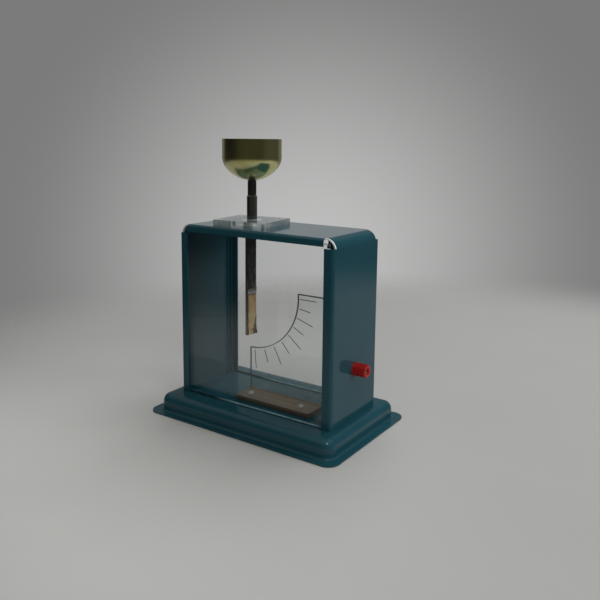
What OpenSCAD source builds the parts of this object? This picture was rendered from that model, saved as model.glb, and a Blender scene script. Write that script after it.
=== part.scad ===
// Gold leaf electroscope: a folded sheet case with two glass windows on a pressed base tray,
// an insulated rod that carries a brass cup above and a leaf below, a clear angle scale
// and an earth terminal. The origin is under the middle of the base, +Z is up, the front
// window faces -Y and the terminal points to +X.

/* [Base tray] */
// Width of the base over its flange
base_w = 191; // [186:1:230]
// Depth of the base over its flange
base_d = 122; // [112:1:160]
// Height of the base's top
base_h = 15.5; // [14:0.5:30]
// Width of the flange round the raised part
base_flange = 7; // [5:0.5:10]
// Corner radius of the flange
base_flange_r = 10; // [6:0.5:13]
// Corner radius of the raised part
base_corner_r = 9; // [8:0.5:12]
// Radius of the shoulder round the top
shoulder_r = 7; // [4:0.5:7.5]
// Radius of the bend between the raised part and the flange
root_r = 2; // [1:0.25:3]
// Thickness of the painted sheet, base and case
sheet = 1; // [0.8:0.1:1.4]

/* [Case] */
// Width of the case
case_w = 156; // [145:1:160]
// Depth of the case
case_d = 72; // [64:1:90]
// Height of the case above the base
case_h = 150; // [140:1:180]
// Outer radius of the two bends between top and sides
top_r = 9; // [6:0.5:12]
// Outer radius of the folds along the window edges
edge_r = 3; // [2.5:0.25:4]
// Width of the flanges that frame the windows at the sides
flange_w = 8.5; // [6:0.5:12]
// Height of the lips that hang over the tops of the windows
lip_h = 6.2; // [5:0.2:10]
// Distance from the top of the case down to the ends of the side flanges
corner_cut = 7.6; // [7:0.2:12]
// Distance that the notches at the rear corners run on into the bends
rear_relief = 2.5; // [0:0.5:4]
// Width of the tabs round their screws, at the foot of the sides
tab_w = 10; // [8:0.5:14]
// Least distance of the tabs' screws from the edge of the base's flat top
tab_inset = 6; // [5:0.5:9]
// Length of those tabs
tab_l = 48; // [40:1:50]

/* [Windows] */
// Thickness of the glass
glass_t = 4; // [2:0.1:5]
// Distance from the top of the case to the top of the glass
glass_head = 4; // [3.5:0.25:5]
// Distance from the folds to the side edges of the glass
glass_side = 0.5; // [0.3:0.1:1]
// Play of the glass in its channel, each side
glass_play = 0.1; // [0.05:0.05:0.3]
// Leg of the angle strips behind the glass
stop_w = 3.5; // [3:0.5:9]
// Width of the ears at the strips' upper ends
ear_w = 7; // [5:0.5:9]
// Thickness of those strips
stop_t = 1; // [0.8:0.1:1.5]

/* [Rod and insulator] */
// Distance of the rod from the middle of the case, towards -X
rod_x = 27; // [20:0.5:32]
// Diameter of the rod
rod_d = 9; // [8:0.2:12]
// Height of the rod above the insulator
rod_rise = 20.8; // [18:0.2:40]
// Depth of the rod's lower end below the top of the case
rod_drop = 11.5; // [10.5:0.5:16]
// Chamfer on the rod's upper end
rod_chamfer = 1; // [0.5:0.1:1.5]
// Width of the insulator, along X
insulator_w = 52; // [46:1:60]
// Depth of the insulator, along Y
insulator_d = 44; // [40:1:56]
// Turn of the insulator about the rod
insulator_turn = 8; // [0:1:12]
// Rounding of the insulator's upright edges
insulator_r = 0.8; // [0.5:0.1:3]
// Thickness of the insulator
insulator_t = 4.5; // [3:0.5:8]
// Diameter of the bush that passes through the case
bush_d = 18; // [16:0.5:24]
// Length of the bush
bush_l = 3; // [2:0.5:4]
// Distance of the insulator's screws from its edges
insulator_inset = 5; // [4.5:0.5:8]
// Thickness of the insulator left above its screws
insulator_skin = 1.2; // [0.8:0.1:1.5]

/* [Leaf] */
// Width of the flat plate that the leaf hangs against
plate_w = 12; // [10:0.5:14]
// Thickness of the flat plate
plate_t = 2.5; // [1.5:0.1:3.5]
// Length of the plate below the rod
plate_drop = 86; // [76:1:96]
// Distance of the plate's upper end below the bush
plate_head = 1; // [0.5:0.1:2]
// Length of the two pins through rod and plate
pin_l = 7.4; // [6:0.2:7.6]
// Diameter of those pins
pin_d = 2; // [1.5:0.1:2.5]
// Width of the leaf
leaf_w = 11; // [8:0.5:12]
// Length of the leaf below its fold
leaf_l = 36; // [30:0.5:38]
// Thickness of the leaf
leaf_t = 0.15; // [0.1:0.05:0.3]
// Gap between leaf and plate
leaf_gap = 0.2; // [0.15:0.05:0.4]
// Height of the tab that holds the leaf
leaf_tab_h = 5.5; // [3:0.5:8]
// Thickness of that tab
leaf_tab_t = 0.4; // [0.3:0.1:0.6]

/* [Cup] */
// Outer diameter of the cup
cup_d = 51; // [44:1:60]
// Height of the cup
cup_h = 35.3; // [30:0.1:45]
// Height of its rounded bottom
bowl_h = 20; // [17:0.5:24]
// Radius of the turn from wall to bottom
knee_r = 14; // [10:0.5:16]
// Thickness of the cup
cup_t = 1; // [0.8:0.1:1.5]
// Diameter of the stem under the cup
stem_d = 7.5; // [7:0.1:8]
// Height of the stem above the rod
stem_h = 12.4; // [10:0.2:20]
// Diameter of the plug that stands in the rod
plug_d = 5; // [4:0.2:5.4]
// Length of the screw in the stem
cup_screw_l = 9; // [6:0.5:9.5]
// Length of that plug
plug_l = 12; // [8:0.5:12.5]

/* [Scale] */
// Width of the clear scale plate
scale_w = 75.3; // [70:0.1:78]
// Thickness of the scale plate
scale_t = 2; // [1.5:0.1:3]
// Distance of the scale plate in front of the rod
scale_y = 1.5; // [1:0.5:10]
// Radius of the quarter circle cut out of the plate
scale_r = 50; // [45:0.5:54]
// Height of the scale's centre above the leaf's fold
scale_lift = 3.1; // [0:0.1:8]
// Height of the plate above the scale's centre
scale_head = 4.2; // [3:0.1:10]
// Number of engraved marks
marks = 9; // [5:1:19]
// Angle of the first mark from straight down
mark_first = 5.5; // [2:0.5:10]
// Angle of the last mark
mark_last = 90; // [85:0.5:90]
// How much closer the marks stand towards the last one
mark_crowd = 0.17; // [0:0.01:0.3]
// Gap between the cut-out and the marks
mark_gap = 2.2; // [1:0.1:4]
// Length of the long marks
mark_long = 16.5; // [12:0.5:18]
// Length of the short marks between them
mark_short = 11.5; // [6:0.5:12]
// Width of a mark
mark_w = 0.6; // [0.4:0.1:1]
// Depth of a mark
mark_deep = 0.3; // [0.2:0.1:0.5]
// Depth of the wooden block that holds the plate
block_d = 24; // [20:0.5:25]
// Height of the block
block_h = 4; // [4:0.5:10]
// Rounding of the block's upright edges
block_r = 1.5; // [0.5:0.5:2]
// Wood left behind the plate
block_back = 1.5; // [1.5:0.5:4]
// Depth of the groove that the plate stands in
groove_deep = 2.5; // [2:0.5:3]
// Distance of the block's first screw from its left end
block_inset = 9; // [6:0.5:12]
// Distance between the block's two screws
block_screws = 52.5; // [40:0.5:54]

/* [Terminal] */
// Height of the terminal above the base
terminal_h = 41; // [30:0.5:80]
// Diameter of cap and collar
cap_d = 10.8; // [10.4:0.2:14]
// Length of the cap
cap_l = 9.7; // [9:0.1:14]
// Thickness of the cap's end
cap_wall = 2; // [1.5:0.1:3]
// Distance of the stud's end behind the cap's end wall
stud_short = 0.5; // [0.3:0.1:1]
// Thickness of the collar under the cap
collar_t = 2; // [1.5:0.5:5]
// Diameter of the threaded stud
stud_d = 6; // [5.6:0.1:6.4]
// Diameter of the plug socket in the stud
socket_d = 4; // [3.5:0.1:4.4]
// Depth of the socket
socket_deep = 9; // [7:0.5:9.5]
// Outer diameter of the brass insert in the cap
insert_d = 7.8; // [7.4:0.1:8.2]
// Chamfer on the cap's end
cap_chamfer = 1; // [0.5:0.1:1.5]
// Clearance of the cap's hole round a plug
plug_play = 0.3; // [0.2:0.05:0.5]
// Chamfer at the mouth of that hole
mouth_chamfer = 0.8; // [0.4:0.1:1]
// Number of flutes round the cap
flutes = 16; // [10:1:18]
// Plain stretch of the cap before the flutes
flute_start = 1.5; // [0.5:0.5:4]
// Radius of a flute
flute_r = 0.5; // [0.3:0.1:0.6]

/* [Fasteners] */
// Shank of the screws of insulator, block and case
screw_d = 3; // [2.5:0.1:3.4]
// Head of those screws
screw_head_d = 5.6; // [5:0.1:6.4]
// Height of those heads
screw_head_h = 2; // [1.5:0.1:2.5]
// Nut of the block's screws, across its corners
block_nut_d = 6.4; // [6:0.1:7]
// Height of that nut
block_nut_h = 2.4; // [1.8:0.1:3]
// Nut of the terminal, across its corners
terminal_nut_d = 11.5; // [10:0.1:13]
// Height of that nut
terminal_nut_h = 3.5; // [2.5:0.1:5]
// Length of a screw or stud past its last sheet or nut
screw_tip = 1.5; // [0.5:0.1:2]
// Washer of the terminal
washer_d = 12; // [10:0.5:14]
// Thickness of that washer
washer_t = 1; // [0.6:0.1:1.5]

/* [Fits] */
// Radial clearance of round fits
fit = 0.05; // [0.03:0.01:0.1]
// Clearance of the plate in its slot and the scale in its groove, each side
slot_play = 0.05; // [0.03:0.01:0.1]
// Gap under the cap, above the leaf's fold, past the insulator's screws and over the angle strips
run_gap = 0.3; // [0.2:0.05:0.4]

/* [Hidden] */
$fn = 64;
over = 1;

// Colours
paint = [0.12, 0.29, 0.34];
clear = [0.85, 0.90, 0.90, 0.35];
acrylic = [0.72, 0.74, 0.73, 0.6];
chrome = [0.45, 0.45, 0.46];
brass = [0.72, 0.62, 0.36];
gold = [0.80, 0.66, 0.38];
wood = [0.45, 0.34, 0.24];
red = [0.62, 0.08, 0.08];

// Heights
case_top = base_h + case_h;
insulator_top = case_top + insulator_t;
rod_top = insulator_top + rod_rise;
rod_bottom = case_top - rod_drop;
plate_seat = rod_drop - bush_l - plate_head;
plate_bottom = rod_bottom - plate_drop;
leaf_z = plate_bottom + leaf_l;
cup_bottom = rod_top + stem_h;
scale_z = leaf_z + scale_lift;
terminal_z = base_h + terminal_h;
block_top = base_h + block_h;

// Base: straight lengths between the corners of the raised part
base_run_x = base_w - 2 * (base_flange + base_corner_r);
base_run_y = base_d - 2 * (base_flange + base_corner_r);

// Case: flat depth between the folds, and the tab's screws
case_flat = case_d - 2 * edge_r;
base_flat_x = base_run_x / 2 + base_corner_r - shoulder_r;
tab_x = min(case_w / 2 - sheet - tab_w / 2, base_flat_x - tab_inset);
tab_reach = case_w / 2 - sheet - tab_x + tab_w / 2;
tab_y = tab_l / 2 - tab_w / 2;

// Windows: faces of the front glass and of the strip behind it
glass_w = case_w - 2 * (edge_r + glass_side);
glass_h = case_h - glass_head;
glass_y = -case_d / 2 + sheet + glass_play;
stop_y = glass_y + glass_t + glass_play;
stop_back = stop_y + stop_t;

// Leaf: the plane that it hangs in
leaf_x = -rod_x + plate_t / 2 + leaf_gap;
fold_x = leaf_x + leaf_t / 2;

// Scale: the plate's left edge stands under the leaf's fold, and the block is as long as the plate
scale_front = -scale_y - scale_t / 2;
scale_bottom = block_top - groove_deep;
block_rear = -scale_y + scale_t / 2 + slot_play + block_back;
block_front = block_rear - block_d;

// Cup: the bottom is a crown that meets the wall in a round knee
crown_r = (pow(cup_d / 2 - knee_r, 2) + pow(bowl_h, 2) - pow(knee_r, 2)) / (2 * (bowl_h - knee_r));

// Terminal: distances from the outer face of the case, outwards
cap_start = collar_t + run_gap;
cap_end = cap_start + cap_l;
stud_end = cap_end - cap_wall - stud_short;
plug_hole_d = socket_d + 2 * plug_play;
mouth_d = plug_hole_d + 2 * mouth_chamfer;
stud_back = sheet + washer_t + terminal_nut_h + screw_tip;

// Shapes used by several pieces

module mirrored(axis) {
    children();
    mirror(axis) children();
}

module round_rect(w, d, r) {
    square([w - 2 * r, d], center = true);
    square([w, d - 2 * r], center = true);
    for (x = [-1, 1], y = [-1, 1])
        translate([x * (w / 2 - r), y * (d / 2 - r)]) circle(r);
}

// Quarter of a ring, in the first quadrant
module quarter_ring(outer, wall) {
    intersection() {
        difference() {
            circle(outer);
            circle(outer - wall);
        }
        square(outer);
    }
}

// Fold at a corner of the sheet: the outer faces lie on both axes, the flange runs to -x
module fold(reach) {
    translate([-edge_r, edge_r]) rotate(-90) quarter_ring(edge_r, sheet);
    translate([-reach, 0]) square([reach - edge_r, sheet]);
}

// Round-headed slotted screw, seated at z = 0 with its shank downwards
module round_screw(shank_l) {
    head_r = screw_head_d / 2;
    ball_r = (pow(head_r, 2) + pow(screw_head_h, 2)) / (2 * screw_head_h);
    slot_w = screw_head_d / 7;
    translate([0, 0, -shank_l]) cylinder(d = screw_d, h = shank_l + screw_head_h / 4);
    difference() {
        intersection() {
            translate([0, 0, screw_head_h - ball_r]) sphere(ball_r);
            cylinder(d = screw_head_d + over, h = screw_head_h);
        }
        translate([-slot_w / 2, -screw_head_d, screw_head_h / 2])
            cube([slot_w, 2 * screw_head_d, screw_head_h]);
    }
}

module hex_nut(corners, h, bore) {
    difference() {
        cylinder(d = corners, h = h, $fn = 6);
        translate([0, 0, -over]) cylinder(d = bore, h = h + 2 * over);
    }
}

// Moves to the terminal's axis, with z outwards from the outer face of the case
module at_terminal() {
    translate([case_w / 2, 0, terminal_z]) rotate([0, 90, 0]) children();
}

// Moves to the rod's axis, turned with the insulator
module at_insulator() {
    translate([-rod_x, 0, 0]) rotate(insulator_turn) children();
}

module at_insulator_screws() {
    at_insulator() for (x = [-1, 1], y = [-1, 1])
        translate([x * (insulator_w / 2 - insulator_inset), y * (insulator_d / 2 - insulator_inset), 0])
            children();
}

module at_tab_screws() {
    for (x = [-1, 1], y = [-1, 1]) translate([x * tab_x, y * tab_y, 0]) children();
}

module at_block_screws() {
    for (x = [0, block_screws])
        translate([fold_x + block_inset + x, (block_front + scale_front) / 2, 0]) children();
}

// Upright hole for a screw shank, from z0 over a height
module shank_hole(z0, h) {
    translate([0, 0, z0 - over]) cylinder(d = screw_d + 2 * fit, h = h + 2 * over);
}

// Base tray

// Section of the pressed wall, measured outwards from the corner's centre
module base_wall_section() {
    translate([base_corner_r - shoulder_r, base_h - shoulder_r]) quarter_ring(shoulder_r, sheet);
    translate([base_corner_r - sheet, sheet + root_r])
        square([sheet, base_h - shoulder_r - root_r - sheet]);
    translate([base_corner_r + root_r, sheet + root_r])
        rotate(180) quarter_ring(root_r + sheet, sheet);
}

module base_wall() {
    mirrored([1, 0, 0]) mirrored([0, 1, 0])
        translate([base_run_x / 2, base_run_y / 2, 0])
            rotate_extrude(angle = 90) base_wall_section();
    mirrored([0, 1, 0])
        translate([-base_run_x / 2, base_run_y / 2, 0])
            rotate([90, 0, 90]) linear_extrude(base_run_x) base_wall_section();
    mirrored([1, 0, 0])
        translate([base_run_x / 2, base_run_y / 2, 0])
            rotate([90, 0, 0]) linear_extrude(base_run_y) base_wall_section();
}

module base_tray() {
    top_in = base_corner_r - shoulder_r;
    root_out = base_corner_r + root_r;
    color(paint) difference() {
        union() {
            linear_extrude(sheet) difference() {
                round_rect(base_w, base_d, base_flange_r);
                round_rect(base_run_x + 2 * root_out, base_run_y + 2 * root_out, root_out);
            }
            base_wall();
            translate([0, 0, base_h - sheet]) linear_extrude(sheet)
                round_rect(base_run_x + 2 * top_in, base_run_y + 2 * top_in, top_in);
        }
        at_tab_screws() shank_hole(base_h - sheet, sheet);
        at_block_screws() shank_hole(base_h - sheet, sheet);
    }
}

// Case

// Section of the bent strip: both sides, both bends and the top
module strip_section() {
    mirrored([1, 0]) {
        translate([case_w / 2 - sheet, 0]) square([sheet, case_h - top_r]);
        translate([case_w / 2 - top_r, case_h - top_r]) quarter_ring(top_r, sheet);
    }
    translate([top_r - case_w / 2, case_h - sheet]) square([case_w - 2 * top_r, sheet]);
}

module case_shell() {
    lip_l = case_w - 2 * top_r;
    color(paint) difference() {
        union() {
            translate([0, case_flat / 2, base_h])
                rotate([90, 0, 0]) linear_extrude(case_flat) strip_section();
            mirrored([1, 0, 0]) mirrored([0, 1, 0])
                translate([case_w / 2, -case_d / 2, base_h])
                    linear_extrude(case_h - corner_cut) fold(flange_w);
            mirrored([0, 1, 0])
                translate([lip_l / 2, -case_d / 2, case_top])
                    rotate([0, -90, 0]) linear_extrude(lip_l) fold(lip_h);
            mirrored([1, 0, 0])
                translate([case_w / 2 - sheet - tab_reach, -tab_l / 2, base_h])
                    cube([tab_reach, tab_l, sheet]);
        }
        translate([-rod_x, 0, case_top - sheet - over])
            cylinder(d = bush_d + 2 * fit, h = sheet + 2 * over);
        mirrored([1, 0, 0])
            translate([case_w / 2 - top_r, case_flat / 2 - rear_relief, case_top - corner_cut])
                cube([top_r + over, rear_relief + over, corner_cut + over]);
        at_insulator_screws() shank_hole(case_top - sheet, sheet);
        at_tab_screws() shank_hole(base_h, sheet);
        at_terminal() translate([0, 0, -sheet - over])
            cylinder(d = stud_d + 2 * fit, h = sheet + 2 * over);
    }
}

module window() {
    translate([-glass_w / 2, glass_y, base_h]) cube([glass_w, glass_t, glass_h]);
}

// Front leg of an angle strip, with the ear in the notch: its upper corner keeps clear of the bend
module stop_face() {
    inner_r = top_r - sheet - run_gap;
    head = case_h - sheet - run_gap;
    intersection() {
        union() {
            translate([case_w / 2 - sheet - stop_w, sheet]) square([stop_w, head - sheet]);
            translate([case_w / 2 - sheet - ear_w, case_h - corner_cut])
                square([ear_w, head - case_h + corner_cut]);
        }
        union() {
            square([case_w / 2 - sheet, case_h - top_r]);
            square([case_w / 2 - top_r, case_h]);
            translate([case_w / 2 - top_r, case_h - top_r]) circle(inner_r);
        }
    }
}

// Angle strips on both sides, behind the front glass
module window_stops() {
    mirrored([1, 0, 0]) {
        translate([0, stop_back, base_h]) rotate([90, 0, 0]) linear_extrude(stop_t) stop_face();
        translate([case_w / 2 - sheet - stop_t, stop_y, base_h + sheet])
            cube([stop_t, stop_w, case_h - top_r - sheet]);
    }
}

module front_window() { color(clear) window(); }
module rear_window() { color(clear) mirror([0, 1, 0]) window(); }
module front_window_stops() { color(paint) window_stops(); }
module rear_window_stops() { color(paint) mirror([0, 1, 0]) window_stops(); }

module case_screws() {
    color(chrome) at_tab_screws()
        translate([0, 0, base_h - sheet]) mirror([0, 0, 1]) round_screw(2 * sheet + screw_tip);
}

// Insulator and rod

module insulator_plate() {
    color(acrylic) difference() {
        at_insulator() translate([0, 0, case_top]) linear_extrude(insulator_t)
            round_rect(insulator_w, insulator_d, insulator_r);
        translate([-rod_x, 0, case_top - over])
            cylinder(d = rod_d + 2 * fit, h = insulator_t + 2 * over);
        at_insulator_screws() translate([0, 0, case_top - over])
            cylinder(d = screw_d + 2 * fit, h = insulator_t - insulator_skin + over);
    }
}

module insulator_bush() {
    color(acrylic) translate([-rod_x, 0, case_top - bush_l]) difference() {
        cylinder(d = bush_d, h = bush_l);
        translate([0, 0, -over]) cylinder(d = rod_d + 2 * fit, h = bush_l + 2 * over);
    }
}

// Screws from inside the case, so that no head shows on the insulator
module insulator_screws() {
    color(chrome) at_insulator_screws() translate([0, 0, case_top - sheet])
        mirror([0, 0, 1]) round_screw(sheet + insulator_t - insulator_skin - run_gap);
}

// The two pins lie along X through the rod's slotted end
module at_leaf_plate_pins() {
    for (i = [1, 3])
        translate([-rod_x, 0, rod_bottom + i * plate_seat / 4]) rotate([0, 90, 0]) children();
}

module pin_hole() {
    cylinder(d = pin_d + 2 * fit, h = rod_d + 2 * over, center = true);
}

module rod() {
    slot_w = plate_t + 2 * slot_play;
    color(chrome) difference() {
        translate([-rod_x, 0, 0]) {
            translate([0, 0, rod_bottom]) cylinder(d = rod_d, h = rod_top - rod_chamfer - rod_bottom);
            translate([0, 0, rod_top - rod_chamfer])
                cylinder(d1 = rod_d, d2 = rod_d - 2 * rod_chamfer, h = rod_chamfer);
        }
        translate([-rod_x - slot_w / 2, -rod_d, rod_bottom - over])
            cube([slot_w, 2 * rod_d, plate_seat + slot_play + over]);
        translate([-rod_x, 0, rod_top - plug_l - over])
            cylinder(d = plug_d + 2 * fit, h = plug_l + 2 * over);
        at_leaf_plate_pins() pin_hole();
    }
}

module leaf_plate() {
    color(chrome) difference() {
        translate([-rod_x - plate_t / 2, -plate_w / 2, plate_bottom])
            cube([plate_t, plate_w, plate_drop + plate_seat]);
        at_leaf_plate_pins() pin_hole();
    }
}

module leaf_plate_pins() {
    color(chrome) at_leaf_plate_pins() cylinder(d = pin_d, h = pin_l, center = true);
}

module leaf_tab() {
    color(chrome) translate([-rod_x + plate_t / 2, -plate_w / 2, leaf_z + run_gap])
        cube([leaf_tab_t, plate_w, leaf_tab_h]);
}

module gold_leaf() {
    color(gold) translate([leaf_x, -leaf_w / 2, leaf_z - leaf_l]) cube([leaf_t, leaf_w, leaf_l]);
}

// Cup

// Half section of the filled cup, shrunk evenly by an inset, with its wall up to a height
module cup_section(inset, wall_top) {
    knee = [cup_d / 2 - knee_r, cup_bottom + bowl_h];
    crown_z = cup_bottom + crown_r;
    reach = 2 * crown_r / norm([knee.x, crown_z - knee.y]);
    intersection() {
        union() {
            translate(knee) circle(knee_r - inset);
            intersection() {
                translate([0, crown_z]) circle(crown_r - inset);
                polygon([[0, crown_z], [0, cup_bottom - over],
                    [reach * knee.x, crown_z - reach * (crown_z - knee.y)]]);
            }
            translate([0, knee.y]) square([cup_d / 2 - inset, wall_top - knee.y]);
        }
        translate([0, cup_bottom - over]) square([cup_d, cup_h + 3 * over]);
    }
}

module cup() {
    color(brass) translate([-rod_x, 0, 0]) difference() {
        rotate_extrude() difference() {
            cup_section(0, cup_bottom + cup_h);
            cup_section(cup_t, cup_bottom + cup_h + over);
        }
        shank_hole(cup_bottom - over, cup_t + 2 * over);
    }
}

module cup_stem() {
    color(chrome) translate([-rod_x, 0, rod_top]) difference() {
        union() {
            cylinder(d = stem_d, h = stem_h);
            translate([0, 0, -plug_l]) cylinder(d = plug_d, h = plug_l + over);
        }
        shank_hole(stem_h - cup_screw_l, cup_screw_l);
    }
}

module cup_screw() {
    inner_r = crown_r - cup_t;
    seat = cup_t + inner_r - sqrt(pow(inner_r, 2) - pow(screw_head_d / 2, 2)) + fit;
    color(chrome) translate([-rod_x, 0, cup_bottom + seat]) round_screw(seat + cup_screw_l);
}

// Scale

// The plate with its quarter circle cut away and its marks engraved in the front
module scale_plate() {
    color(clear) difference() {
        translate([fold_x, scale_front, scale_bottom])
            cube([scale_w, scale_t, scale_z + scale_head - scale_bottom]);
        translate([fold_x, scale_front - over, scale_z]) {
            rotate([-90, 0, 0]) cylinder(r = scale_r, h = scale_t + 2 * over);
            translate([-over, 0, 0]) cube([scale_r + over, scale_t + 2 * over, scale_head + over]);
        }
        for (i = [0 : marks - 1])
            translate([fold_x, scale_front, scale_z])
                rotate([0, -mark_angle(i / (marks - 1)), 0])
                    scale_mark(i % 2 == 0 ? mark_long : mark_short);
    }
}

// Angle of the mark that stands this share of the way along the scale
function mark_angle(share) =
    mark_first + (mark_last - mark_first) * (share + mark_crowd * share * (1 - share));

module scale_mark(length) {
    translate([-mark_w / 2, -over, -(scale_r + mark_gap + length)])
        cube([mark_w, mark_deep + over, length]);
}

module scale_block() {
    groove_w = scale_t + 2 * slot_play;
    color(wood) difference() {
        translate([fold_x + scale_w / 2, block_front + block_d / 2, base_h])
            linear_extrude(block_h) round_rect(scale_w, block_d, block_r);
        translate([fold_x - over, -scale_y - groove_w / 2, scale_bottom])
            cube([scale_w + 2 * over, groove_w, groove_deep + over]);
        at_block_screws() shank_hole(base_h, block_h);
    }
}

module scale_screws() {
    color(brass) at_block_screws()
        translate([0, 0, block_top]) round_screw(block_h + sheet + block_nut_h + screw_tip);
}

module scale_nuts() {
    color(brass) at_block_screws()
        translate([0, 0, base_h - sheet - block_nut_h])
            hex_nut(block_nut_d, block_nut_h, screw_d + 2 * fit);
}

// Terminal

module terminal_stud() {
    color(brass) at_terminal() difference() {
        translate([0, 0, -stud_back]) cylinder(d = stud_d, h = stud_back + stud_end);
        translate([0, 0, stud_end - socket_deep]) cylinder(d = socket_d, h = socket_deep + over);
    }
}

module terminal_collar() {
    color(red) at_terminal() difference() {
        cylinder(d = cap_d, h = collar_t);
        translate([0, 0, -over]) cylinder(d = stud_d + 2 * fit, h = collar_t + 2 * over);
    }
}

module terminal_insert() {
    insert_l = cap_l - cap_wall;
    color(brass) at_terminal() translate([0, 0, cap_start]) difference() {
        cylinder(d = insert_d, h = insert_l);
        translate([0, 0, -over]) cylinder(d = stud_d + 2 * fit, h = insert_l + 2 * over);
    }
}

// Fluted cap with a chamfered end and a hole for the plug
module terminal_cap() {
    color(red) at_terminal() translate([0, 0, cap_start]) difference() {
        union() {
            cylinder(d = cap_d, h = cap_l - cap_chamfer);
            translate([0, 0, cap_l - cap_chamfer])
                cylinder(d1 = cap_d, d2 = cap_d - 2 * cap_chamfer, h = cap_chamfer);
        }
        translate([0, 0, -over])
            cylinder(d = insert_d + 2 * fit, h = cap_l - cap_wall + fit + over);
        cylinder(d = plug_hole_d, h = cap_l + over);
        translate([0, 0, cap_l - mouth_chamfer])
            cylinder(d1 = plug_hole_d, d2 = mouth_d + 2 * over, h = mouth_chamfer + over);
        for (i = [0 : flutes - 1])
            rotate(i * 360 / flutes) translate([cap_d / 2, 0, flute_start])
                cylinder(r = flute_r, h = cap_l);
    }
}

module terminal_washer() {
    color(chrome) at_terminal() translate([0, 0, -sheet - washer_t]) difference() {
        cylinder(d = washer_d, h = washer_t);
        translate([0, 0, -over]) cylinder(d = stud_d + 2 * fit, h = washer_t + 2 * over);
    }
}

module terminal_nut() {
    color(brass) at_terminal() translate([0, 0, -sheet - washer_t - terminal_nut_h])
        hex_nut(terminal_nut_d, terminal_nut_h, stud_d + 2 * fit);
}

base_tray();
case_shell();
front_window();
rear_window();
front_window_stops();
rear_window_stops();
case_screws();
insulator_plate();
insulator_bush();
insulator_screws();
rod();
leaf_plate();
leaf_plate_pins();
leaf_tab();
gold_leaf();
cup();
cup_stem();
cup_screw();
scale_plate();
scale_block();
scale_screws();
scale_nuts();
terminal_stud();
terminal_collar();
terminal_insert();
terminal_cap();
terminal_washer();
terminal_nut();
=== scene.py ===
import itertools
import math

import bmesh
import bpy
from mathutils import Matrix, Vector, noise


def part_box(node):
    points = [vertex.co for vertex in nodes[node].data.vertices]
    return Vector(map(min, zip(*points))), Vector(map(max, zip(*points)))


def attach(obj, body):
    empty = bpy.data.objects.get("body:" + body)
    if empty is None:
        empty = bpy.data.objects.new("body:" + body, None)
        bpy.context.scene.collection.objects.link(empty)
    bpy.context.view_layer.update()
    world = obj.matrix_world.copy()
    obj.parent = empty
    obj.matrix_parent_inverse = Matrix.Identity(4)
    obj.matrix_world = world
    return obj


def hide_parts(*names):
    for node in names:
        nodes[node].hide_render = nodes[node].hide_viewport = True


# Gold leaf electroscope: finishes for the CAD nodes, the pieces that replace or add to them, and the stage

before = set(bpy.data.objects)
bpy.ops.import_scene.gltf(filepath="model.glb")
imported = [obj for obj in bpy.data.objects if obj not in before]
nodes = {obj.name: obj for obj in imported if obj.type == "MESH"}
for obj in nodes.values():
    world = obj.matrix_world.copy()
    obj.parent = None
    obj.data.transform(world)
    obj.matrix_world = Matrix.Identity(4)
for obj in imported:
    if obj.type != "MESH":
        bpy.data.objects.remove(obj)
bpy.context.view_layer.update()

MM = 0.001


def towards(azimuth, pitch):
    """The direction from the object to a viewpoint at these angles."""
    level = math.cos(pitch)
    return Vector((math.sin(azimuth) * level, -math.cos(azimuth) * level, math.sin(pitch)))


# Camera, fitted to the photograph: its lens and sensor are in millimetres
CAMERA_AT = Vector((340.68, -467.86, 240.50)) * MM
CAMERA_AZIMUTH = math.radians(34.144)
CAMERA_PITCH = math.radians(8.481)
CAMERA_ROLL = math.radians(0.601)
CAMERA_LENS = 41.429
CAMERA_SENSOR = 36.0
CAMERA_SHIFT = -0.10
CAMERA_NEAREST = 10 * MM

# Level directions: from the object to the camera, and to the camera's right
TO_CAMERA = towards(CAMERA_AZIMUTH, 0)
TO_RIGHT = Vector((math.cos(CAMERA_AZIMUTH), math.sin(CAMERA_AZIMUTH), 0))

# Backdrop as it is seen: where it is palest, a little right of the view's middle, how far it fades, and its
# levels in the middle and at the edge
BACKDROP_AT = -towards(math.radians(33), math.radians(9.5))
BACKDROP_REACH = math.radians(26)
BACKDROP_MIDDLE = 0.51
BACKDROP_EDGE = 0.2

# Lamps, with their diameters in metres and powers in watts; shiny surfaces show those that are glossy
LAMPS = (
    dict(name="overhead", place=(0.05, 0.55, 1.25), aim=(0, 0, 0), size=1.1, power=11, glossy=False),
    dict(name="lamp", place=(0.55, -0.35, 1.0), aim=(0, 0, 0.08), size=0.3, power=1.5, glossy=True),
    dict(name="side", place=(1.15, 0.30, 0.35), aim=(0, 0, 0.08), size=0.5, power=4.5, glossy=False),
    dict(name="front", place=(0.50, -1.10, 0.28), aim=(0, 0, 0.08), size=0.8, power=2.7, glossy=False),
)

# Notches at the case's upper corners: where the lips, the bends and the side flanges end, and the width of
# the band there of paint chips, pale as a painted highlight, with its raggedness
NOTCH_SIDE = 69 * MM
NOTCH_END = 33 * MM
NOTCH_FOOT = 157.9 * MM
CHIP_HIGHLIGHT_BAND = 1.4 * MM
CHIP_RAGGED = 0.3 * MM

# The scale: its arc's centre below the plate's top, its radius, and the dark line of painted shade along its
# cut edges
SCALE_HEAD = 4.2 * MM
SCALE_RADIUS = 50 * MM
EDGE_LINE = 0.6 * MM

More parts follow.
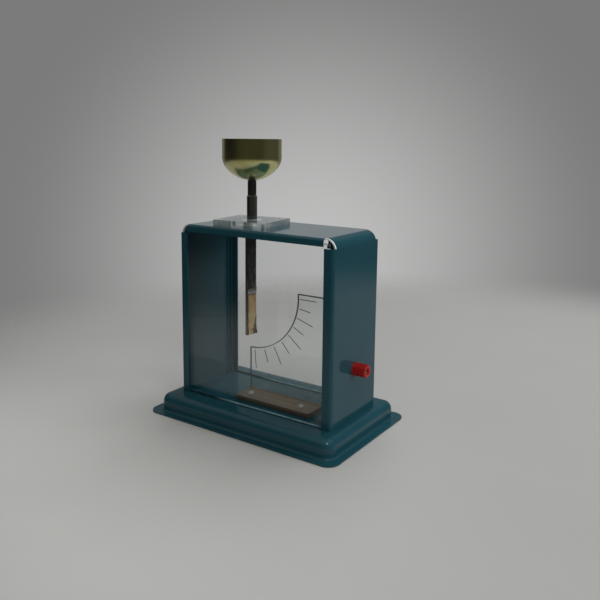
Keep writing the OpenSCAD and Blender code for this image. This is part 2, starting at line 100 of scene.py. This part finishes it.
# Colours, linear
PAINT_DEEP = (0.0105, 0.055, 0.074, 1)
PAINT_PALE = (0.015, 0.071, 0.094, 1)
PAINT_SPECK = (0.05, 0.12, 0.14, 1)
# Pale steel at the notches, partly a painted highlight
STEEL_PALE_HIGHLIGHT = (0.80, 0.83, 0.84, 1)
STEEL_DULL = (0.60, 0.63, 0.63, 1)
NICKEL_CLEAN = (0.80, 0.80, 0.75, 1)
NICKEL_DULL = (0.60, 0.60, 0.55, 1)
CHROME_CLEAN = (0.42, 0.42, 0.42, 1)
CHROME_DULL = (0.30, 0.295, 0.29, 1)
TAB_DARK = (0.10, 0.10, 0.095, 1)
BLACK_DEEP = (0.010, 0.011, 0.010, 1)
BLACK_PALE = (0.017, 0.018, 0.016, 1)
# Painted highlight on the leaf plate's narrow edges
BLACK_EDGE_HIGHLIGHT = (0.16, 0.145, 0.11, 1)
BRASS_CLEAN = (0.70, 0.68, 0.34, 1)
BRASS_DULL = (0.50, 0.48, 0.22, 1)
GOLD_PALE = (0.95, 0.74, 0.42, 1)
GOLD_DEEP = (0.66, 0.48, 0.24, 1)
GOLD_BROWN = (0.64, 0.43, 0.26, 1)
# Painted shade in the leaf's lower corner
GOLD_CORNER_SHADE = (0.16, 0.13, 0.055, 1)
GLASS_CLEAR = (0.975, 0.985, 0.98, 1)
GLASS_SHADE = (0.93, 0.95, 0.94, 1)
# Painted highlight on the panes' lower arrises, and painted shade at their left ends and feet
GLASS_GROUND_HIGHLIGHT = (0.26, 0.41, 0.45, 1)
GLASS_EDGE_SHADE = (0.012, 0.03, 0.035, 1)
SHEET_CLEAR = (0.97, 0.98, 0.975, 1)
# Painted shade on the scale's cut edges
CUT_SHADE_DARK = (0.03, 0.035, 0.035, 1)
CUT_SHADE_PALE = (0.075, 0.08, 0.08, 1)
ACRYLIC_DULL = (0.88, 0.91, 0.90, 1)
ACRYLIC_CLEAR = (0.93, 0.95, 0.94, 1)
WOOD_PALE = (0.135, 0.102, 0.045, 1)
WOOD_DARK = (0.055, 0.041, 0.018, 1)
WOOD_RED = (0.125, 0.058, 0.030, 1)
WOOD_PORE = (0.03, 0.02, 0.012, 1)
# Painted shade on the block's sides
WOOD_SIDE_SHADE = (0.022, 0.016, 0.010, 1)
RED_BRIGHT = (0.42, 0.014, 0.012, 1)
RED_DEEP = (0.26, 0.008, 0.008, 1)
INK_FULL = (0.012, 0.013, 0.014, 1)
INK_THIN = (0.05, 0.052, 0.055, 1)
FLOOR_PALE = (0.395, 0.395, 0.39, 1)
# Painted light on the floor's near left
FLOOR_PAINTED_LIGHT = (0.54, 0.54, 0.535, 1)
FLOOR_CLOUD = (0.30, 0.30, 0.295, 1)
STUDIO_TINT = (1, 0.995, 0.99, 1)
ROOM_TINT = (1, 0.96, 0.68, 1)


class Nodes:
    """A node tree, emptied, and the few kinds of node that the finishes and the studio are made of."""

    def __init__(self, owner):
        owner.use_nodes = True
        self.tree = owner.node_tree
        self.tree.nodes.clear()

    def add(self, kind, inputs=None, **settings):
        """A new node. Its inputs, by name or number, are constants or the outputs of other nodes."""
        node = self.tree.nodes.new(kind)
        for name, value in settings.items():
            setattr(node, name, value)
        for key, value in (inputs or {}).items():
            if isinstance(value, bpy.types.NodeSocket):
                self.tree.links.new(value, node.inputs[key])
            else:
                node.inputs[key].default_value = value
        return node

    def remap(self, value, low, high, to_low=0.0, to_high=1.0, smooth=False):
        """The value's range from low to high, carried over to another range and held at its ends."""
        limits = {"Value": value, "From Min": low, "From Max": high, "To Min": to_low, "To Max": to_high}
        kind = "SMOOTHSTEP" if smooth else "LINEAR"
        return self.add("ShaderNodeMapRange", limits, interpolation_type=kind).outputs["Result"]

    def maths(self, operation, first, *others):
        """The operation on one value, or on the first and each further value in turn."""
        if not others:
            return self.add("ShaderNodeMath", {0: first}, operation=operation).outputs["Value"]
        for other in others:
            first = self.add("ShaderNodeMath", {0: first, 1: other}, operation=operation).outputs["Value"]
        return first

    def levels(self, factor, first, second):
        """A number between two numbers."""
        node = self.add("ShaderNodeMix", {"Factor": factor, 2: first, 3: second}, data_type="FLOAT")
        return node.outputs[0]

    def colours(self, factor, first, second):
        """A colour between two colours."""
        node = self.add("ShaderNodeMix", {"Factor": factor, 6: first, 7: second}, data_type="RGBA")
        return node.outputs[2]

    def axes(self, vector):
        """The vector's parts along X, Y and Z."""
        return self.add("ShaderNodeSeparateXYZ", {"Vector": vector}).outputs

    def along(self, vector, direction):
        """The vector's part along a fixed direction."""
        node = self.add("ShaderNodeVectorMath", {0: vector, 1: direction}, operation="DOT_PRODUCT")
        return node.outputs["Value"]


class Finish(Nodes):
    """A material, with the patterns and shaders that its look takes."""

    def __init__(self, name):
        self.material = bpy.data.materials.new(name)
        super().__init__(self.material)
        self.place = self.add("ShaderNodeTexCoord").outputs["Object"]

    def noise(self, size, detail, stretch=None):
        """Noise from 0 to 1 with features about that big; a stretch under 1 draws them out along its axis."""
        place = self.place
        if stretch:
            place = self.add("ShaderNodeMapping", {"Vector": place, "Scale": stretch}).outputs["Vector"]
        pattern = {"Vector": place, "Scale": 1 / size, "Detail": detail}
        return self.add("ShaderNodeTexNoise", pattern).outputs["Fac"]

    def spread(self, pattern, low, high):
        """Noise, most of which lies between 0.3 and 0.7, drawn out over a range."""
        return self.remap(pattern, 0.3, 0.7, low, high)

    def normal(self):
        """The parts of the surface's direction along X, Y and Z."""
        return self.axes(self.add("ShaderNodeNewGeometry").outputs["Normal"])

    def bump(self, height, depth, strength, under=None):
        """Relief, on top of the relief under it where that is given."""
        inputs = {"Height": height, "Distance": depth, "Strength": strength}
        if under:
            inputs["Normal"] = under
        return self.add("ShaderNodeBump", inputs).outputs["Normal"]

    def principled(self, **inputs):
        """A surface; an underscore in an input's name stands for a space."""
        named = {name.replace("_", " "): value for name, value in inputs.items()}
        return self.add("ShaderNodeBsdfPrincipled", named).outputs[0]

    def transparent(self, **inputs):
        """A surface that only lets light through."""
        return self.add("ShaderNodeBsdfTransparent", inputs).outputs[0]

    def shaders(self, factor, first, second):
        """A mix of two shaders."""
        return self.add("ShaderNodeMixShader", {"Fac": factor, 1: first, 2: second}).outputs[0]

    def see_through(self, shader):
        """The shader, with shadow rays let through so that what is behind it is lit."""
        shadow = self.add("ShaderNodeLightPath").outputs["Is Shadow Ray"]
        return self.shaders(shadow, shader, self.transparent(Color=GLASS_SHADE))

    def finish(self, shader):
        """The material, with this shader on its surface."""
        self.add("ShaderNodeOutputMaterial", {"Surface": shader})
        return self.material


# Finishes

def enamel(notched=False):
    """Glossy stoved paint with faint orange peel and dust specks, and paint chips round the notches of the
    case whose pale bare steel is also a painted highlight.
    """
    f = Finish("case_enamel" if notched else "enamel")
    paint = f.colours(f.noise(60 * MM, 3), PAINT_DEEP, PAINT_PALE)
    paint = f.colours(f.remap(f.noise(1.1 * MM, 1), 0.70, 0.78, 0.0, 0.10), paint, PAINT_SPECK)
    if notched:
        across, along, up = (f.maths("ABSOLUTE", part) for part in f.axes(f.place))
        ragged = f.maths("ADD", along, f.spread(f.noise(1.5 * MM, 2), -CHIP_RAGGED, CHIP_RAGGED))
        # Paint chips round the notches, in pale steel that is also a painted highlight
        chipped_highlight = f.maths("MULTIPLY", f.maths("GREATER_THAN", up, NOTCH_FOOT),
                          f.maths("GREATER_THAN", across, NOTCH_SIDE),
                          f.maths("GREATER_THAN", ragged, NOTCH_END - CHIP_HIGHLIGHT_BAND))
        paint = f.colours(chipped_highlight, paint, STEEL_PALE_HIGHLIGHT)
    return f.finish(f.principled(
        Base_Color=paint, Roughness=f.spread(f.noise(12 * MM, 4), 0.09, 0.15), Specular_IOR_Level=0.33,
        Normal=f.bump(f.noise(3.5 * MM, 1), 0.02 * MM, 0.35)))


def bare_steel_highlight():
    """Sheared edge of the sheet, where the paint didn't hold, pale as a painted highlight."""
    f = Finish("bare_steel_highlight")
    worn = f.noise(1.2 * MM, 3)
    return f.finish(f.principled(
        Base_Color=f.colours(f.remap(worn, 0.35, 0.7), STEEL_PALE_HIGHLIGHT, STEEL_DULL), Metallic=0.3,
        Roughness=f.spread(worn, 0.3, 0.5)))


def plated():
    """Nickel plating on small screws, dulled by handling."""
    f = Finish("plated")
    dull = f.remap(f.noise(2 * MM, 3), 0.35, 0.7)
    return f.finish(f.principled(
        Base_Color=f.colours(dull, NICKEL_CLEAN, NICKEL_DULL), Metallic=0.8,
        Roughness=f.remap(dull, 0, 1, 0.34, 0.5), Normal=f.bump(f.noise(0.4 * MM, 2), 0.02 * MM, 0.4)))


def chrome():
    """Bright plating with fine turning marks and a little dullness."""
    f = Finish("chrome")
    dull = f.remap(f.noise(8 * MM, 4), 0.4, 0.75)
    turning = f.noise(0.3 * MM, 2, (0.1, 0.1, 1))
    return f.finish(f.principled(
        Base_Color=f.colours(dull, CHROME_CLEAN, CHROME_DULL), Metallic=1.0,
        Roughness=f.remap(dull, 0, 1, 0.07, 0.2), Normal=f.bump(turning, 0.008 * MM, 0.25)))


def tab_plating():
    """Plating of the leaf's tab, darker towards its top."""
    f = Finish("tab_plating")
    low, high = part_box("leaf_tab")
    dull = f.remap(f.noise(2 * MM, 3), 0.35, 0.7)
    # Darker towards the tab's top
    bright = f.maths("MULTIPLY", f.remap(f.axes(f.place)[2], low.z, high.z, 1.0, 0.0, smooth=True),
                     f.remap(dull, 0, 1, 1.0, 0.8))
    return f.finish(f.principled(
        Base_Color=f.colours(bright, TAB_DARK, CHROME_CLEAN), Metallic=1.0,
        Roughness=f.remap(dull, 0, 1, 0.15, 0.3), Normal=f.bump(f.noise(0.4 * MM, 2), 0.01 * MM, 0.3)))


def blackened():
    """Metal gone nearly black, with a dull gloss, and a painted highlight on the narrow edges of the leaf's
    plate that fades out towards its top.
    """
    f = Finish("blackened")
    low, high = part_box("leaf_plate")
    highlight_share = 0.7
    highlight_top = low.z + highlight_share * (high.z - low.z)
    patch = f.noise(9 * MM, 2)
    on_edge = f.remap(f.maths("ABSOLUTE", f.normal()[1]), 0.9, 0.98)
    # Painted highlight on the plate's narrow edges, strongest at its foot
    edge_highlight = f.remap(f.axes(f.place)[2], low.z, highlight_top, 1.0, 0.0, smooth=True)
    tone = f.colours(f.maths("MULTIPLY", edge_highlight, on_edge),
                     f.colours(patch, BLACK_DEEP, BLACK_PALE), BLACK_EDGE_HIGHLIGHT)
    drawn = f.noise(0.4 * MM, 2, (1, 1, 0.08))
    return f.finish(f.principled(
        Base_Color=tone, Roughness=f.spread(patch, 0.2, 0.34), Normal=f.bump(drawn, 0.01 * MM, 0.3)))


def brass():
    """Spun brass: rings from spinning, streaks from wiping, and patches where it has dulled."""
    f = Finish("brass")
    dull = f.remap(f.noise(16 * MM, 5), 0.45, 0.75)
    rings = f.noise(0.7 * MM, 2, (0.12, 0.12, 1))
    streaks = f.noise(4 * MM, 3, (1, 1, 0.12))
    rough = f.maths("ADD", f.remap(dull, 0, 1, 0.13, 0.24), f.maths("MULTIPLY", streaks, 0.12))
    relief = f.bump(streaks, 0.25 * MM, 0.35, under=f.bump(rings, 0.015 * MM, 0.3))
    return f.finish(f.principled(
        Base_Color=f.colours(f.maths("MULTIPLY", dull, 0.7), BRASS_CLEAN, BRASS_DULL), Metallic=1.0,
        Roughness=rough, Normal=relief))


def gold():
    """Beaten leaf: browner towards its fold, with painted shade in its lower corner on the right, and finely
    wrinkled.
    """
    f = Finish("gold")
    low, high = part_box("gold_leaf")
    middle = (low.y + high.y) / 2
    brown_from, brown_full = high.z - 22 * MM, high.z - 4 * MM
    corner_slope, corner_wave, corner_from, corner_full = 3.7, 1.2 * MM, -2 * MM, 3 * MM
    along, up = f.axes(f.place)[1:]
    tone = f.remap(f.noise(6 * MM, 4), 0.35, 0.7)
    leaf = f.colours(tone, GOLD_PALE, GOLD_DEEP)
    leaf = f.colours(f.remap(up, brown_from, brown_full, 0.0, 0.75, smooth=True), leaf, GOLD_BROWN)
    # Painted shade in the leaf's lower corner on the right
    corner = f.maths("ADD", f.maths("MULTIPLY", f.maths("SUBTRACT", along, middle), corner_slope),
                     f.spread(f.noise(4 * MM, 3), -corner_wave, corner_wave))
    corner = f.maths("SUBTRACT", corner, f.maths("SUBTRACT", up, low.z))
    leaf = f.colours(f.remap(corner, corner_from, corner_full, 0.0, 0.9, smooth=True), leaf, GOLD_CORNER_SHADE)
    wrinkle = f.noise(1.1 * MM, 3, (1, 1, 0.45))
    return f.finish(f.principled(
        Base_Color=leaf, Metallic=1.0, Roughness=f.remap(tone, 0, 1, 0.28, 0.42),
        Normal=f.bump(wrinkle, 0.06 * MM, 0.6)))


def window_glass():
    """Clear glass with faint smears."""
    f = Finish("window_glass")
    smear = f.remap(f.noise(30 * MM, 4, (1, 1, 0.4)), 0.5, 0.8, 0.0, 0.02)
    return f.finish(f.see_through(f.principled(
        Base_Color=GLASS_CLEAR, Transmission_Weight=1.0, IOR=1.5, Roughness=smear)))


def ground_glass():
    """Lower edge of a pane: a matt ground arris, pale as a painted highlight towards the middle and right,
    with painted shade at its left end and on its foot.
    """
    f = Finish("ground_glass")
    # Painted highlight on the lower arris, with painted shade at its left end and on the flat foot
    shade_to, highlight_from, level = -45 * MM, -22 * MM, 0.9
    sloping = f.maths("LESS_THAN", f.maths("ABSOLUTE", f.normal()[2]), level)
    arris_highlight = f.maths("MULTIPLY", f.remap(f.axes(f.place)[0], shade_to, highlight_from, smooth=True),
                    f.remap(f.noise(6 * MM, 3), 0.3, 0.6, 0.55, 1.0), sloping)
    grit = f.noise(0.5 * MM, 3)
    return f.finish(f.principled(
        Base_Color=f.colours(arris_highlight, GLASS_EDGE_SHADE, GLASS_GROUND_HIGHLIGHT), Roughness=f.spread(grit, 0.4, 0.6),
        Normal=f.bump(grit, 0.03 * MM, 0.5)))


def clear_scale():
    """Clear sheet whose cut edges, and a thin line along them, are painted dark: painted shade for how a
    clear sheet's edges look.
    """
    f = Finish("clear_scale")
    low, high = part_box("scale_plate")
    place = f.axes(f.place)
    right = f.maths("SUBTRACT", place[0], low.x)
    down = f.maths("SUBTRACT", high.z - SCALE_HEAD, place[2])
    from_centre = f.maths("SQRT", f.maths("ADD", f.maths("MULTIPLY", right, right),
                                          f.maths("MULTIPLY", down, down)))
    from_edge = f.maths("MINIMUM", f.maths("SUBTRACT", from_centre, SCALE_RADIUS), right,
                        f.maths("SUBTRACT", high.z, place[2]))
    face_on = 0.5
    # Painted shade on the cut faces and in a thin line beside them
    sawn = f.maths("LESS_THAN", f.maths("ABSOLUTE", f.normal()[1]), face_on)
    edge = f.maths("MAXIMUM", sawn, f.maths("LESS_THAN", from_edge, EDGE_LINE))
    scratch = f.remap(f.noise(2.5 * MM, 3, (1, 1, 12)), 0.62, 0.72, 0.0, 0.06)
    sheet = f.principled(Base_Color=SHEET_CLEAR, Transmission_Weight=1.0, IOR=1.46, Roughness=scratch)
    cut = f.principled(
        Base_Color=f.colours(f.noise(4 * MM, 2), CUT_SHADE_DARK, CUT_SHADE_PALE), Roughness=0.4,
        Normal=f.bump(f.noise(0.4 * MM, 2, (1, 0.15, 1)), 0.05 * MM, 0.6))
    return f.finish(f.see_through(f.shaders(edge, sheet, cut)))


def acrylic():
    """Clear plastic with a little haze and fine scratches."""
    f = Finish("acrylic")
    return f.finish(f.see_through(f.principled(
        Base_Color=f.colours(f.noise(20 * MM, 3), ACRYLIC_DULL, ACRYLIC_CLEAR), Transmission_Weight=0.86,
        IOR=1.36, Roughness=f.remap(f.noise(4 * MM, 4), 0.4, 0.8, 0.03, 0.10),
        Normal=f.bump(f.noise(1.2 * MM, 3, (1, 6, 1)), 0.004 * MM, 0.2))))


def wood():
    """Varnished hardwood with its grain along X, reddish in patches, and with painted shade on its sides."""
    f = Finish("wood")
    growth = f.noise(2.2 * MM, 3, (0.05, 1, 1))
    pores = f.remap(f.noise(0.6 * MM, 2, (0.06, 1, 1)), 0.60, 0.70)
    tone = f.colours(f.spread(growth, 0, 1), WOOD_PALE, WOOD_DARK)
    tone = f.colours(f.maths("MULTIPLY", pores, 0.55), tone, WOOD_PORE)
    tone = f.colours(f.remap(f.noise(20 * MM, 3), 0.35, 0.75, 0.0, 0.35), tone, WOOD_DARK)
    tone = f.colours(f.remap(f.noise(30 * MM, 2, (0.6, 1, 1)), 0.42, 0.68, 0.0, 0.7), tone, WOOD_RED)
    # Painted shade on the faces that don't look up
    tone = f.colours(f.remap(f.normal()[2], 0.3, 0.8, 0.6, 0.0), tone, WOOD_SIDE_SHADE)
    return f.finish(f.principled(
        Base_Color=tone, Roughness=f.spread(growth, 0.3, 0.5), Coat_Weight=0.25, Coat_Roughness=0.2,
        Normal=f.bump(f.maths("SUBTRACT", growth, pores), 0.08 * MM, 0.5)))


def red_plastic():
    """Moulded plastic with a fine grain."""
    f = Finish("red_plastic")
    grain = f.noise(0.4 * MM, 2)
    return f.finish(f.principled(
        Base_Color=f.colours(f.noise(4 * MM, 3), RED_BRIGHT, RED_DEEP), Roughness=f.spread(grain, 0.25, 0.4),
        Normal=f.bump(grain, 0.02 * MM, 0.4)))


def ink():
    """Matt ink, thin in places."""
    f = Finish("ink")
    grain = f.noise(0.5 * MM, 3)
    return f.finish(f.principled(
        Base_Color=f.colours(f.remap(grain, 0.4, 0.8), INK_FULL, INK_THIN),
        Roughness=f.spread(grain, 0.5, 0.8)))


# The CAD nodes' finishes

def dress(material, *names):
    """Gives the named nodes this material alone."""
    for name in names:
        nodes[name].data.materials.clear()
        nodes[name].data.materials.append(material)


def bare_the_cut_edges():
    """Shows bare steel, pale as a painted highlight, on the sheet's cut faces in the four notches at the
    case's upper corners.
    """
    near, square = 0.2 * MM, 0.9
    mesh = nodes["case_shell"].data
    mesh.materials.append(bare_steel_highlight())
    for face in mesh.polygons:
        x, y, z = abs(face.center.x), abs(face.center.y), face.center.z
        nx, ny = (abs(part) > square for part in face.normal[:2])
        on_sheet = ny and abs(y - NOTCH_END) < near and x > NOTCH_SIDE
        on_lip = nx and abs(x - NOTCH_SIDE) < near and z > NOTCH_FOOT
        if on_sheet or on_lip:
            face.material_index = 1


# Pieces made here

def piece(name, mesh_source, material, body):
    """A new piece from a bmesh, which is freed."""
    mesh = bpy.data.meshes.new(name)
    mesh_source.to_mesh(mesh)
    mesh_source.free()
    mesh.materials.append(material)
    obj = bpy.data.objects.new(name, mesh)
    bpy.context.scene.collection.objects.link(obj)
    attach(obj, body)
    return obj


def pane(node, name, glass, ground):
    """A glass pane with its edges ground off, a hair smaller than its solid so that no faces coincide."""
    low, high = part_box(node)
    inset, arris = 0.04 * MM, 0.9 * MM
    flat, downward = 0.01, -0.5
    centre = (low + high) / 2
    half = (high - low) / 2 - Vector((inset, inset, inset))
    bm = bmesh.new()
    for signs in itertools.product((-1, 1), repeat=3):
        for axis in range(3):
            corner = [sign * (half[k] - (0 if k == axis else arris)) for k, sign in enumerate(signs)]
            bm.verts.new(centre + Vector(corner))
    bmesh.ops.convex_hull(bm, input=bm.verts)
    bmesh.ops.dissolve_limit(bm, angle_limit=flat, verts=bm.verts, edges=bm.edges)
    bmesh.ops.recalc_face_normals(bm, faces=bm.faces)
    for face in bm.faces:
        face.material_index = 1 if face.normal.z < downward else 0
    obj = piece(name, bm, glass, "case")
    obj.data.materials.append(ground)
    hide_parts(node)


def leaf_sheet(material):
    """The leaf as beaten foil: it bows off the plate and is creased and curled towards its free end."""
    low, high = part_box("gold_leaf")
    across, down = 28, 84
    thick = 0.05 * MM
    bow, crease, curl = 0.55 * MM, 0.35 * MM, 2.2 * MM
    curl_lean, curl_from = 0.75, 1.1
    bow_waves, crease_waves = (3.0, 7.0), (9.0, 22.0)
    bow_seed = Vector((3.1, 7.7, 1.3))
    crease_seed = bow_seed + Vector((0, 0, 4.0))
    bm = bmesh.new()

    def ripple(u, v, waves, seed):
        """Waves in the foil, so many across and down it, from -1 to 1."""
        return noise.noise(Vector((u * waves[0], v * waves[1], 0)) + seed)

    def stand_off(u, v):
        """Distance off the plate, zero at the fold; u runs across and v down the leaf."""
        bowed = bow * (0.5 + ripple(u, v, bow_waves, bow_seed))
        creased = crease * (0.5 + ripple(u, v, crease_waves, crease_seed))
        curled = max(0.0, u + curl_lean * v - curl_from) ** 2
        return v * (bowed + creased) + curl * curled * v

    sides = []
    for depth in (thick, 0.0):
        grid = []
        for j in range(down + 1):
            v = j / down
            row = []
            for i in range(across + 1):
                u = i / across
                x = low.x + depth + max(0.0, stand_off(u, v))
                row.append(bm.verts.new((x, low.y + u * (high.y - low.y), high.z - v * (high.z - low.z))))
            grid.append(row)
        sides.append(grid)
    front, back = sides
    for j in range(down):
        for i in range(across):
            bm.faces.new((front[j][i], front[j + 1][i], front[j + 1][i + 1], front[j][i + 1]))
            bm.faces.new((back[j][i], back[j][i + 1], back[j + 1][i + 1], back[j + 1][i]))
    rim = [(j, 0) for j in range(down)] + [(down, i) for i in range(across)]
    rim += [(j, across) for j in range(down, 0, -1)] + [(0, i) for i in range(across, 0, -1)]
    for (j0, i0), (j1, i1) in zip(rim, rim[1:] + rim[:1]):
        bm.faces.new((front[j0][i0], back[j0][i0], back[j1][i1], front[j1][i1]))
    bmesh.ops.recalc_face_normals(bm, faces=bm.faces)
    for face in bm.faces:
        face.smooth = True
    obj = piece("leaf_foil", bm, material, "leaf")
    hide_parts("gold_leaf")


def scale_ink():
    """Ink in the engraved marks: a slim bar with pointed ends for each mark."""
    low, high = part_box("scale_plate")
    centre = Vector((low.x, low.y, high.z - SCALE_HEAD))
    marks, first, last, crowd = 9, math.radians(5.5), math.radians(90), 0.17
    gap, long_mark, short_mark = 2.2 * MM, 16.5 * MM, 11.5 * MM
    half, tip, sunk, depth = 0.27 * MM, 0.5 * MM, 0.02 * MM, 0.26 * MM
    bm = bmesh.new()
    for index in range(marks):
        share = index / (marks - 1)
        angle = first + (last - first) * (share + crowd * share * (1 - share))
        away = Vector((math.sin(angle), 0, -math.cos(angle)))
        side = Vector((math.cos(angle), 0, math.sin(angle)))
        length = long_mark if index % 2 == 0 else short_mark
        near, far = SCALE_RADIUS + gap + sunk, SCALE_RADIUS + gap + length - sunk
        outline = [(near, 0), (near + tip, half), (far - tip, half),
                   (far, 0), (far - tip, -half), (near + tip, -half)]
        front, back = ([bm.verts.new(centre + away * r + side * s + Vector((0, y, 0))) for r, s in outline]
                       for y in (sunk, depth))
        bm.faces.new(front)
        bm.faces.new(list(reversed(back)))
        for k in range(len(outline)):
            nxt = (k + 1) % len(outline)
            bm.faces.new((front[k], front[nxt], back[nxt], back[k]))
    bmesh.ops.recalc_face_normals(bm, faces=bm.faces)
    piece("scale_ink", bm, ink(), "case")


# Stage

def floor_paper(fade_from):
    """Pale paper with painted light on its near left, seen by the camera only, that fades out towards the
    floor's edge.
    """
    f = Finish("floor")
    rightward, rearward = f.axes(f.place)[:2]
    seen = f.add("ShaderNodeLightPath").outputs["Is Camera Ray"]
    left_full, left_end, near_full, near_end = -0.5, 0.15, -0.3, 0.3
    # Painted light on the floor's near left, for the camera only
    painted_light_near_left = f.maths("MULTIPLY", f.remap(rightward, left_full, left_end, 1.0, 0.0, smooth=True),
                        f.remap(rearward, near_full, near_end, 1.0, 0.0, smooth=True), seen)
    tone = f.colours(painted_light_near_left, FLOOR_PALE, FLOOR_PAINTED_LIGHT)
    tone = f.colours(f.spread(f.noise(180 * MM, 3), 0.0, 0.1), tone, FLOOR_CLOUD)
    paper = f.principled(Base_Color=tone, Roughness=0.75, Specular_IOR_Level=0.25)
    distance = f.add("ShaderNodeVectorMath", {"Vector": f.place}, operation="LENGTH").outputs["Value"]
    return f.finish(f.shaders(f.remap(distance, fade_from, 1, smooth=True), paper, f.transparent()))


def floor():
    """An oval floor, turned to the camera, that lies a hair below the base."""
    across, deep, fade_from, steps = 0.70, 0.62, 0.55, 96
    right, behind, below = 0.15, 0.06, 0.3 * MM
    bm = bmesh.new()
    bmesh.ops.create_circle(bm, cap_ends=True, segments=steps, radius=1)
    mesh = bpy.data.meshes.new("floor")
    bm.to_mesh(mesh)
    bm.free()
    mesh.materials.append(floor_paper(fade_from))
    obj = bpy.data.objects.new("floor", mesh)
    obj.location = right * TO_RIGHT - behind * TO_CAMERA - Vector((0, 0, below))
    obj.rotation_euler.z = CAMERA_AZIMUTH
    obj.scale = (across, deep, 1)
    bpy.context.scene.collection.objects.link(obj)


def studio_world():
    """A pale studio behind the object and overhead, and a dim warm room in front of it.

    The camera sees a plain backdrop instead, straight or through glass.
    """
    world = bpy.data.worlds.new("studio")
    bpy.context.scene.world = world
    w = Nodes(world)
    direction = w.add("ShaderNodeTexCoord").outputs["Generated"]
    upward = w.axes(direction)[2]
    facing = w.along(direction, TO_CAMERA)
    rightward = w.along(direction, TO_RIGHT)

    overhead_level = 0.4
    around = w.maths(
        "ADD",
        w.remap(facing, -0.985, -0.93, 0.26, 0, smooth=True),    # straight behind the object
        w.remap(facing, -0.8, -0.42, 0.165, 0.012, smooth=True),    # the rest of the back, and the sides
        w.remap(facing, 0.2, 0.9, 0, 0.027, smooth=True),    # round the camera
        w.remap(rightward, 0.6, 1.0, 0, 0.055, smooth=True),    # on the right
        w.remap(upward, -0.42, -0.2, 0.26, 0, smooth=True))    # below the floor's edge
    room = w.levels(w.remap(upward, 0.45, 0.85, smooth=True), around, overhead_level)

    off_middle = w.maths("ARCCOSINE", w.along(direction, BACKDROP_AT))
    pale = w.remap(off_middle, 0, BACKDROP_REACH, BACKDROP_MIDDLE, BACKDROP_EDGE, smooth=True)

    path = w.add("ShaderNodeLightPath").outputs
    straight = w.maths("LESS_THAN", path["Glossy Depth"], 0.5)
    through = w.maths("MULTIPLY", path["Is Transmission Ray"], straight)
    seen = w.maths("MAXIMUM", path["Is Camera Ray"], through)
    warm = w.maths("MULTIPLY", w.remap(facing, 0.1, 0.6, smooth=True), w.maths("SUBTRACT", 1, seen))
    back = {"Color": w.colours(warm, STUDIO_TINT, ROOM_TINT), "Strength": w.levels(seen, room, pale)}
    w.add("ShaderNodeOutputWorld", {"Surface": w.add("ShaderNodeBackground", back).outputs[0]})


def area_light(name, place, aim, size, power, glossy):
    """A round soft lamp, which isn't seen through glass."""
    lamp = bpy.data.lights.new(name, "AREA")
    lamp.shape = "DISK"
    lamp.size = size
    lamp.energy = power
    obj = bpy.data.objects.new(name, lamp)
    obj.location = place
    obj.rotation_euler = (Vector(aim) - Vector(place)).to_track_quat("-Z", "Y").to_euler()
    obj.visible_glossy = glossy
    obj.visible_transmission = False
    bpy.context.scene.collection.objects.link(obj)


def camera():
    """The photograph's viewpoint; the roll tips the camera's right side up."""
    lens = bpy.data.cameras.new("camera")
    lens.lens = CAMERA_LENS
    lens.sensor_width = CAMERA_SENSOR
    lens.shift_y = CAMERA_SHIFT
    lens.clip_start = CAMERA_NEAREST
    aim = -towards(CAMERA_AZIMUTH, CAMERA_PITCH)
    turn = aim.to_track_quat("-Z", "Y").to_matrix().to_4x4() @ Matrix.Rotation(CAMERA_ROLL, 4, "Z")
    obj = bpy.data.objects.new("camera", lens)
    obj.matrix_world = Matrix.Translation(CAMERA_AT) @ turn
    bpy.context.scene.collection.objects.link(obj)
    bpy.context.scene.camera = obj


clear_glass, ground_edge, leaf_gold = window_glass(), ground_glass(), gold()

dress(enamel(), "base_tray", "front_window_stops", "rear_window_stops")
dress(enamel(notched=True), "case_shell")
dress(clear_glass, "front_window", "rear_window")
dress(acrylic(), "insulator_plate", "insulator_bush")
dress(chrome(), "case_screws", "insulator_screws", "rod", "leaf_plate_pins", "cup_screw", "terminal_washer")
dress(tab_plating(), "leaf_tab")
dress(blackened(), "leaf_plate", "cup_stem")
dress(plated(), "scale_screws", "scale_nuts")
dress(brass(), "cup", "terminal_stud", "terminal_insert", "terminal_nut")
dress(leaf_gold, "gold_leaf")
dress(wood(), "scale_block")
dress(red_plastic(), "terminal_collar", "terminal_cap")
dress(clear_scale(), "scale_plate")
bare_the_cut_edges()

pane("front_window", "front_pane", clear_glass, ground_edge)
pane("rear_window", "rear_pane", clear_glass, ground_edge)
leaf_sheet(leaf_gold)
scale_ink()

floor()
studio_world()
for settings in LAMPS:
    area_light(**settings)
camera()

bpy.context.scene.view_settings.view_transform = "Standard"
